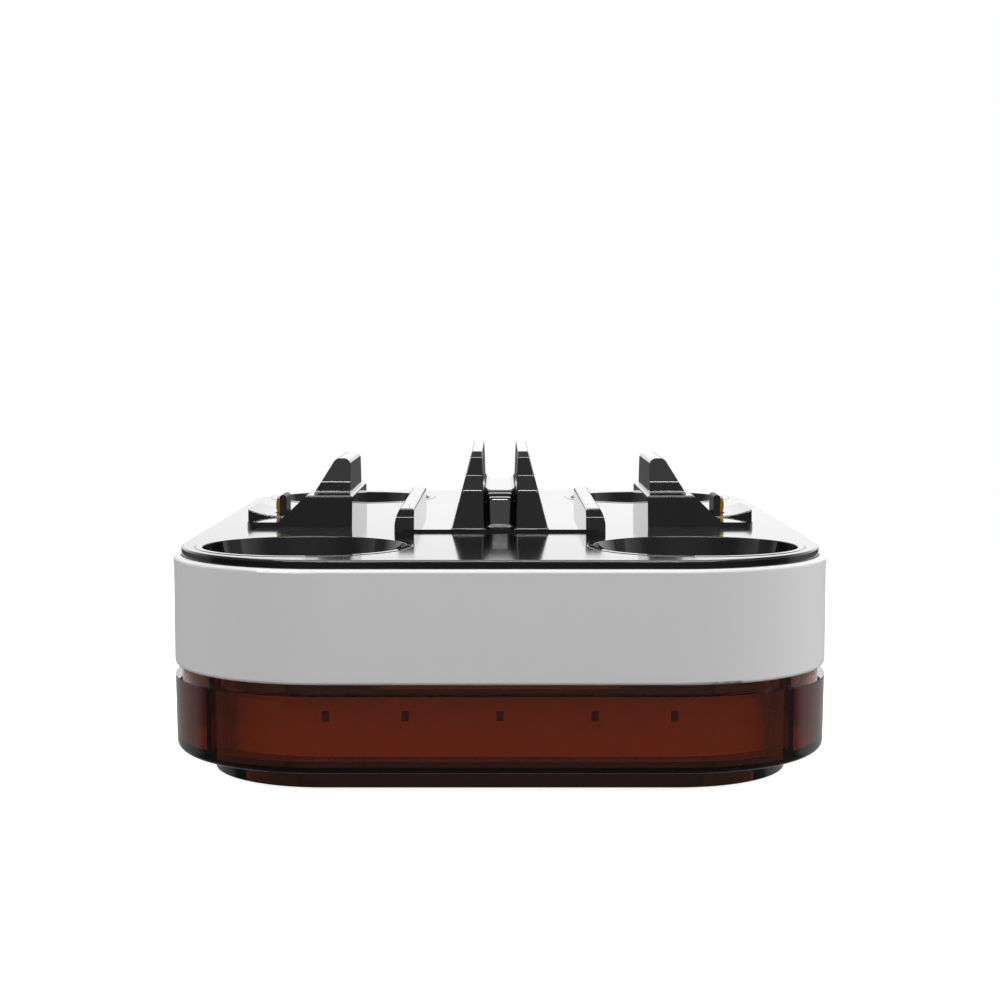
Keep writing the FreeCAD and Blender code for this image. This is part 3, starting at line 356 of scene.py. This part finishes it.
def pillow(profile: np.ndarray, half: tuple[float, float], squareness: float,
           count: int) -> tuple[np.ndarray, np.ndarray]:
    """Closed form whose level sections are superellipses.

    A section at fraction r of the full width has the points r * a * sgn(cos t) * |cos t|^q and
    r * b * sgn(sin t) * |sin t|^q, where q is 1 for an ellipse and near 0 for a rectangle.

    Args:
        profile: rows of (fraction, height), from the top pole to the bottom pole, in mm.
        half: half width and half length, in mm.
        squareness: the power q.
        count: points round a section.
    Returns:
        Points in mm and triangles that face outwards.
    """
    turn = np.linspace(0, 2 * np.pi, count, endpoint=False)
    ring = np.stack([half[0] * np.sign(np.cos(turn)) * np.abs(np.cos(turn)) ** squareness,
                     half[1] * np.sign(np.sin(turn)) * np.abs(np.sin(turn)) ** squareness], 1)
    body = profile[1:-1]
    flat = body[:, None, :1] * ring[None]
    height = np.broadcast_to(body[:, None, 1:], (len(body), count, 1))
    rings = np.concatenate([flat, height], 2).reshape(-1, 3)
    poles = np.array([[0, 0, profile[0, 1]], [0, 0, profile[-1, 1]]])
    points = np.concatenate([rings, poles])
    here = np.arange(count)
    then = (here + 1) % count
    row = np.arange(len(body) - 1)[:, None] * count
    a, b, c, d = row + here, row + then, row + count + then, row + count + here
    sides = np.concatenate([np.stack([a, d, b], -1), np.stack([b, d, c], -1)]).reshape(-1, 3)
    top, bottom, last = len(rings), len(rings) + 1, (len(body) - 1) * count
    caps = np.concatenate([np.stack([np.full(count, top), here, then], 1),
                           np.stack([np.full(count, bottom), last + then, last + here], 1)])
    return points, np.concatenate([sides, caps])


def scattered(points: np.ndarray, faces: np.ndarray, spots: np.ndarray,
              turns: np.ndarray) -> tuple[np.ndarray, np.ndarray]:
    """Copies of one form, each turned and then moved: p' = R p + s.

    Args:
        points: points of the form.
        faces: its triangles.
        spots: places, one row each.
        turns: rotation matrices, one each.
    Returns:
        All points and all triangles.
    """
    moved = np.einsum("kij,nj->kni", turns, points) + spots[:, None, :]
    shift = np.arange(len(spots))[:, None, None] * len(points)
    return moved.reshape(-1, 3), (faces[None] + shift).reshape(-1, 3)


def new_piece(name: str, points: np.ndarray, faces: np.ndarray, slot: str) -> bpy.types.Object:
    """Make a mesh object from arrays; it rides on the stand.

    Args:
        name: name of the piece.
        points: points in mm.
        faces: triangles.
        slot: the record's material slot; not used.
    Returns:
        The new object, at the origin.
    """
    mesh = bpy.data.meshes.new(name)
    mesh.from_pydata((points * MM).tolist(), [], faces.tolist())
    mesh.shade_smooth()
    piece = bpy.data.objects.new(name, mesh)
    bpy.context.scene.collection.objects.link(piece)
    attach(piece, "root")
    LOG.info("%s has %d triangles", name, len(faces))
    return piece


def facing(normal: Sequence[float]) -> np.ndarray:
    """Rotation that turns +Z to a level direction and keeps the form's +Y upright.

    Args:
        normal: outward direction, level.
    Returns:
        A 3 by 3 matrix.
    """
    out = np.array(normal, float)
    up = np.array([0.0, 0.0, 1.0])
    return np.stack([np.cross(up, out), up, out], 1)


@dataclass
class LightTray:
    """Clear tray with its pale skirt, light strip and lights, sizes in mm.

    The lights stand on the straight runs between the base's corners. The last one on a run is
    end_gap short of the corner, and inner_share places the next one in on a short side.
    """

    corner: float = 33.8
    end_gap: float = 0.9
    inner_share: float = 0.544
    side_steps: int = 3
    window: tuple[float, float] = (0.48, 0.72)
    window_rise: float = 0.12
    window_squareness: float = 0.45
    window_points: int = 20
    dome_rings: int = 6
    # height of the band of painted shade along the skirt's top edge
    painted_shade_height: float = 1.2

    def front_places(self) -> np.ndarray:
        """Places of the lights along a short side.

        Returns:
            Distances from the middle, in mm.
        """
        outer = CAD_BOX[1].x / MM - self.corner - self.end_gap
        inner = outer * self.inner_share
        return np.array([-outer, -inner, 0.0, inner, outer])

    def side_places(self) -> np.ndarray:
        """Places of the lights along a long side, evenly spaced.

        Returns:
            Distances from the middle, in mm.
        """
        reach = CAD_BOX[1].y / MM - self.corner - self.end_gap
        return np.linspace(-reach, reach, 2 * self.side_steps + 1)

    def round_the_strip(self, along_short: np.ndarray,
                        along_long: np.ndarray) -> tuple[np.ndarray, np.ndarray]:
        """Places and directions on the faces of the lights, on all four straight runs.

        Args:
            along_short: places along the front and back.
            along_long: places along the sides.
        Returns:
            Spots in mm and rotation matrices.
        """
        low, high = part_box("led_chips")
        x, y, level = high.x / MM, high.y / MM, (low.z + high.z) / 2 / MM
        short, long = np.ones_like(along_short), np.ones_like(along_long)
        spots = np.concatenate([
            np.stack([along_short, -y * short, level * short], 1),
            np.stack([along_short, y * short, level * short], 1),
            np.stack([-x * long, along_long, level * long], 1),
            np.stack([x * long, along_long, level * long], 1)])
        turns = np.concatenate([
            np.repeat(facing((0, -1, 0))[None], len(along_short), 0),
            np.repeat(facing((0, 1, 0))[None], len(along_short), 0),
            np.repeat(facing((-1, 0, 0))[None], len(along_long), 0),
            np.repeat(facing((1, 0, 0))[None], len(along_long), 0)])
        return spots, turns

    def windows(self) -> bpy.types.Object:
        """Low domed resin window on the face of each light: height = rise * sqrt(1 - r^2).

        Returns:
            All windows as one piece.
        """
        r = np.sin(np.linspace(0, np.pi / 2, self.dome_rings))
        dome = np.stack([r, self.window_rise * np.sqrt(1 - r ** 2)], 1)
        profile = np.concatenate([dome, [[0.0, 0.0]]])
        points, faces = pillow(profile, self.window, self.window_squareness, self.window_points)
        spots, turns = self.round_the_strip(self.front_places(), self.side_places())
        return new_piece("light_windows", *scattered(points, faces, spots, turns), "led_package")

    def build(self, wardrobe: Wardrobe) -> None:
        """Dress the CAD pieces and add the windows.

        Args:
            wardrobe: where the materials come from.
        """
        wardrobe.wear_nodes(["light_tray"], AMBER)
        skirt_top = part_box("reflector_ring")[1].z / MM
        # The skirt's top edge is painted dark: painted shade for the joint under the white band.
        painted_shade_skirt = replace(PALE, painted_shade_above_mm=skirt_top - self.painted_shade_height)
        wardrobe.wear_nodes(["reflector_ring"], painted_shade_skirt)
        wardrobe.wear_nodes(["led_strip"], FILM)
        wardrobe.wear_nodes(["led_chips"], PACKAGE)
        wardrobe.wear(self.windows(), RESIN)


@dataclass
class Housing:
    """White band, inner deck, gloss top plate, cradle, the four grip wells and the feet."""

    corners: tuple[str, ...] = ("front_left", "front_right", "rear_left", "rear_right")

    def build(self, wardrobe: Wardrobe) -> None:
        """Dress the CAD pieces.

        Args:
            wardrobe: where the materials come from.
        """
        wardrobe.wear_nodes(["mid_band"], WHITE)
        wardrobe.wear_nodes(["lower_deck"], INNER)
        wardrobe.wear_nodes(["top_plate"], PLATE)
        wardrobe.wear_nodes(["console_cradle"], BLACK)
        wardrobe.wear_nodes([f"well_cup_{corner}" for corner in self.corners], BLACK)
        wardrobe.wear_nodes([f"foot_{corner}" for corner in self.corners], RUBBER)


@dataclass
class ContactDock:
    """One dock with its contact, contact board and lead."""

    side: str

    def build(self, wardrobe: Wardrobe) -> None:
        """Dress the CAD pieces of this side.

        Args:
            wardrobe: where the materials come from.
        """
        dressed = {"dock": BLACK, "contact_block": NYLON, "contact_blades": GOLD,
                   "contact_board": LAMINATE, "contact_lead": SHEATH}
        for part, finish in dressed.items():
            wardrobe.wear_nodes([f"{self.side}_{part}"], finish)


@dataclass
class Electronics:
    """Main board, its parts, and the power socket at the back, sizes in mm.

    A pad is flat on top out to the share pad_crown of its width, and its middle lies
    pad_setback half lengths in from the end of the tongue.
    """

    tongue_pads: int = 8
    pad_pitch: float = 0.72
    pad: tuple[float, float] = (0.22, 1.6)
    pad_rise: float = 0.04
    pad_crown: float = 0.8
    pad_squareness: float = 0.2
    pad_points: int = 12
    pad_setback: float = 1.3

    def gold_pads(self) -> bpy.types.Object:
        """Row of thin gold pads on top of the socket's tongue, nearly rectangular.

        Returns:
            All pads as one piece.
        """
        _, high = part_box("socket_tongue")
        profile = np.array([[0.0, self.pad_rise], [self.pad_crown, self.pad_rise],
                            [1.0, self.pad_rise / 2], [1.0, 0.0], [0.0, 0.0]])
        points, faces = pillow(profile, self.pad, self.pad_squareness, self.pad_points)
        x = (np.arange(self.tongue_pads) - (self.tongue_pads - 1) / 2) * self.pad_pitch
        y = high.y / MM - self.pad[1] * self.pad_setback
        spots = np.stack([x, np.full_like(x, y), np.full_like(x, high.z / MM)], 1)
        turns = np.repeat(np.eye(3)[None], len(x), 0)
        return new_piece("tongue_pads", *scattered(points, faces, spots, turns), "contact_gold")

    def build(self, wardrobe: Wardrobe) -> None:
        """Dress the CAD pieces and add the tongue's pads.

        Args:
            wardrobe: where the materials come from.
        """
        wardrobe.wear_nodes(["main_board"], LAMINATE)
        wardrobe.wear_nodes(["board_parts", "socket_tongue"], EPOXY)
        wardrobe.wear_nodes(["lead_plugs"], PLUG)
        wardrobe.wear_nodes(["power_socket"], NICKEL)
        wardrobe.wear_nodes(["led_lead"], SHEATH)
        wardrobe.wear(self.gold_pads(), GOLD)


@dataclass
class Fixings:
    """All groups of screws."""

    groups: tuple[str, ...] = ("tray", "deck", "cradle", "dock", "contact", "board")

    def build(self, wardrobe: Wardrobe) -> None:
        """Dress every screw.

        Args:
            wardrobe: where the materials come from.
        """
        wardrobe.wear_nodes([f"{group}_screws" for group in self.groups], ZINC)


# Colours of the studio's light
PLAIN_HEX, WARM_HEX = "#ffffff", "#ff9a72"


@dataclass(frozen=True)
class Card:
    """Bright card that gloss and clear plastic show, in degrees and mm.

    It stands in front at an elevation over the horizon and is span degrees high. It is length
    long, from side to side, and its middle is shifted sideways.
    """

    elevation: float
    span: float
    level: float
    middle: float = 0.0
    length: float = 1400.0
    colour_hex: str = PLAIN_HEX


@dataclass(frozen=True)
class Softbox:
    """Large soft lamp that only matt surfaces show, in mm."""

    name: str
    place: tuple[float, float, float]
    size: tuple[float, float]
    level: float


@dataclass
class Studio:
    """Pale floor, soft light all round and the camera, sizes in mm and degrees.

    The room's light is given as (elevation, level). The elevation runs from 0 at the horizon in
    front, over 90 straight up, to 180 at the horizon behind; it is negative below the horizon.
    """

    floor_radius: float = 340.0
    floor_hub: float = 0.02
    floor_rings: int = 12
    floor_points: int = 96
    camera_back: float = 446.6
    camera_height: float = 89.26
    camera_pitch: float = 4.69
    focal_pixels: float = 1805.0
    frame_pixels: float = 1000.0
    sensor: float = 36.0
    clip_near: float = 10.0
    clip_far: float = 20000.0
    room: tuple[tuple[float, float], ...] = (
        (-180.0, 0.1), (-173.0, 0.12), (-169.0, 0.38), (-150.0, 0.38), (-135.0, 0.1),
        (-20.0, 0.08), (-4.0, 0.22), (10.0, 0.45), (15.0, 0.45), (18.5, 0.3), (22.0, 0.3),
        (26.0, 0.6), (34.0, 0.82), (45.0, 1.1), (56.0, 0.4), (125.0, 0.35), (150.0, 1.0),
        (165.0, 1.55), (174.0, 1.52), (177.0, 1.25), (180.0, 1.05))
    room_peak: float = 2.0
    left_gain: float = 0.85
    right_gain: float = 1.25
    cards: tuple[Card, ...] = (
        # short pair, for the bends of the docks' tabs
        Card(25.0, 1.6, 90.0, middle=-185.0, length=150.0),
        Card(25.0, 1.6, 90.0, middle=185.0, length=150.0),
        # lines along the bends of fins and ridges
        Card(40.0, 3.5, 35.0),
        # short one, for the web between the fins and its mirror image in the plate
        Card(55.9, 1.2, 55.0, length=90.0),
        # lines along the upper edges
        Card(72.0, 6.0, 18.0),
        Card(109.0, 6.0, 14.0),
        # warm and low, for the front of the tray and then for its round corners
        Card(-14.0, 14.0, 0.28, colour_hex=WARM_HEX),
        Card(-26.5, 22.0, 0.42, middle=-1900.0, length=2400.0, colour_hex=WARM_HEX),
        Card(-26.5, 22.0, 0.42, middle=1900.0, length=2400.0, colour_hex=WARM_HEX))
    card_distance: float = 1300.0
    softboxes: tuple[Softbox, ...] = (
        Softbox("top_box", (0.0, 0.0, 1500.0), (1300.0, 1300.0), 3.0),
        Softbox("front_box", (0.0, -1150.0, 350.0), (600.0, 600.0), 1.4),
        Softbox("left_box", (-800.0, 0.0, 60.0), (900.0, 500.0), 0.85),
        Softbox("right_box", (800.0, 0.0, 60.0), (900.0, 500.0), 1.5))
    most_bounces: int = 16
    clear_bounces: int = 14
    gloss_bounces: int = 8
    matt_bounces: int = 6

    def floor(self, wardrobe: Wardrobe) -> None:
        """Flat disc under the stand: points at r * (cos t, sin t).

        Args:
            wardrobe: where the materials come from.
        """
        count = self.floor_points
        r, t = np.meshgrid(np.linspace(self.floor_hub, 1.0, self.floor_rings),
                           np.linspace(0, 2 * np.pi, count, endpoint=False), indexing="ij")
        disc = np.stack([r * np.cos(t), r * np.sin(t), np.zeros_like(r)], -1).reshape(-1, 3)
        points = disc * self.floor_radius
        here = np.arange(count)
        then = (here + 1) % count
        row = np.arange(self.floor_rings - 1)[:, None] * count
        quads = np.stack([row + here, row + count + here, row + count + then, row + then], -1)
        mesh = bpy.data.meshes.new("floor")
        mesh.from_pydata((points * MM).tolist(), [],
                         quads.reshape(-1, 4).tolist() + [here.tolist()])
        floor = bpy.data.objects.new("floor", mesh)
        bpy.context.scene.collection.objects.link(floor)
        floor.visible_glossy = False
        floor.visible_diffuse = False
        floor.visible_transmission = False
        wardrobe.wear(floor, PAPER)

    def room_light(self) -> None:
        """Soft light of the room by elevation: dim in front, a white wall behind.

        It is brighter towards the right. The camera itself sees plain white.
        """
        world = bpy.data.worlds.new("studio")
        bpy.context.scene.world = world
        world.use_nodes = True
        tree = world.node_tree
        tree.nodes.clear()
        way = add_node(tree, "ShaderNodeTexCoord")
        parts = add_node(tree, "ShaderNodeSeparateXYZ", links={"Vector": way.outputs["Generated"]})
        ahead = add_node(tree, "ShaderNodeMath", {"operation": "MULTIPLY", 1: -1.0},
                         {0: parts.outputs["Y"]})
        angle = add_node(tree, "ShaderNodeMath", {"operation": "ARCTAN2"},
                         {0: parts.outputs["Z"], 1: ahead.outputs["Value"]})
        turn = add_node(tree, "ShaderNodeMapRange", {"From Min": -math.pi, "From Max": math.pi},
                        {"Value": angle.outputs["Value"]})
        ramp = add_node(tree, "ShaderNodeValToRGB", links={"Fac": turn.outputs["Result"]})
        stops = ramp.color_ramp.elements
        ready = len(stops)
        for i, (elevation, level) in enumerate(self.room):
            stop = stops[i] if i < ready else stops.new(1.0)
            stop.position = (elevation + 180.0) / 360.0
            stop.color = (*[level / self.room_peak] * 3, 1.0)
        flank = add_node(tree, "ShaderNodeMapRange",
                         {"From Min": -1.0, "To Min": self.room_peak * self.left_gain,
                          "To Max": self.room_peak * self.right_gain},
                         {"Value": parts.outputs["X"]})
        level = add_node(tree, "ShaderNodeMath", {"operation": "MULTIPLY"},
                         {0: ramp.outputs["Color"], 1: flank.outputs["Result"]})
        soft = add_node(tree, "ShaderNodeBackground", {"Color": linear(PLAIN_HEX)},
                        {"Strength": level.outputs["Value"]})
        plain = add_node(tree, "ShaderNodeBackground",
                         {"Color": linear(PLAIN_HEX), "Strength": 1.0})
        path = add_node(tree, "ShaderNodeLightPath")
        seen = add_node(tree, "ShaderNodeMixShader", links={
            0: path.outputs["Is Camera Ray"], 1: soft.outputs["Background"],
            2: plain.outputs["Background"]})
        add_node(tree, "ShaderNodeOutputWorld", links={"Surface": seen.outputs["Shader"]})

    def lamp(self, name: str, place: Vector, size: tuple[float, float],
             level: float) -> bpy.types.Object:
        """Area lamp that faces the middle of the stand.

        Args:
            name: name of the lamp.
            place: where it is, in mm.
            size: its length across and its height, in mm.
            level: radiance of its face.
        Returns:
            The lamp, hidden from the camera.
        """
        data = bpy.data.lights.new(name, "AREA")
        data.shape = "RECTANGLE"
        data.size, data.size_y = size[0] * MM, size[1] * MM
        data.energy = level * math.pi * data.size * data.size_y
        lamp = bpy.data.objects.new(name, data)
        lamp.location = place * MM
        lamp.rotation_euler = place.to_track_quat("Z", "Y").to_euler()
        lamp.visible_camera = False
        bpy.context.scene.collection.objects.link(lamp)
        return lamp

    def light(self) -> None:
        """Room light, softboxes that the gloss doesn't show, and cards that matt faces don't."""
        self.room_light()
        for box in self.softboxes:
            lamp = self.lamp(box.name, Vector(box.place), box.size, box.level)
            lamp.visible_glossy = False
            lamp.visible_transmission = False
        for i, card in enumerate(self.cards):
            tilt = math.radians(card.elevation)
            place = Vector((0, -math.cos(tilt), math.sin(tilt))) * self.card_distance
            height = 2.0 * self.card_distance * math.tan(math.radians(card.span / 2.0))
            lamp = self.lamp(f"strip_{i}", place + Vector((card.middle, 0, 0)),
                             (card.length, height), card.level)
            lamp.data.color = linear(card.colour_hex)[:3]
            lamp.visible_diffuse = False

    def camera(self) -> None:
        """Camera where the photograph was taken from, fitted as a pinhole."""
        data = bpy.data.cameras.new("camera")
        data.sensor_width = self.sensor
        data.lens = self.focal_pixels / self.frame_pixels * self.sensor
        data.clip_start = self.clip_near * MM
        data.clip_end = self.clip_far * MM
        camera = bpy.data.objects.new("camera", data)
        camera.location = (0.0, -self.camera_back * MM, self.camera_height * MM)
        camera.rotation_euler = (math.radians(90.0 - self.camera_pitch), 0.0, 0.0)
        bpy.context.scene.collection.objects.link(camera)
        bpy.context.scene.camera = camera

    def build(self, wardrobe: Wardrobe) -> None:
        """Set up floor, light, camera and colour handling.

        Args:
            wardrobe: where the materials come from.
        """
        self.floor(wardrobe)
        self.light()
        self.camera()
        scene = bpy.context.scene
        scene.view_settings.view_transform = "Standard"
        scene.cycles.use_denoising = True
        scene.cycles.max_bounces = self.most_bounces
        scene.cycles.transmission_bounces = self.clear_bounces
        scene.cycles.glossy_bounces = self.gloss_bounces
        scene.cycles.diffuse_bounces = self.matt_bounces


def main() -> None:
    """Build every sub-assembly in order."""
    logging.basicConfig(level=logging.INFO, format="%(name)s: %(message)s")
    wardrobe = Wardrobe()
    for assembly in (Studio(), LightTray(), Housing(), ContactDock("left"), ContactDock("right"),
                     Electronics(), Fixings()):
        assembly.build(wardrobe)


if __name__ == "__main__":
    main()
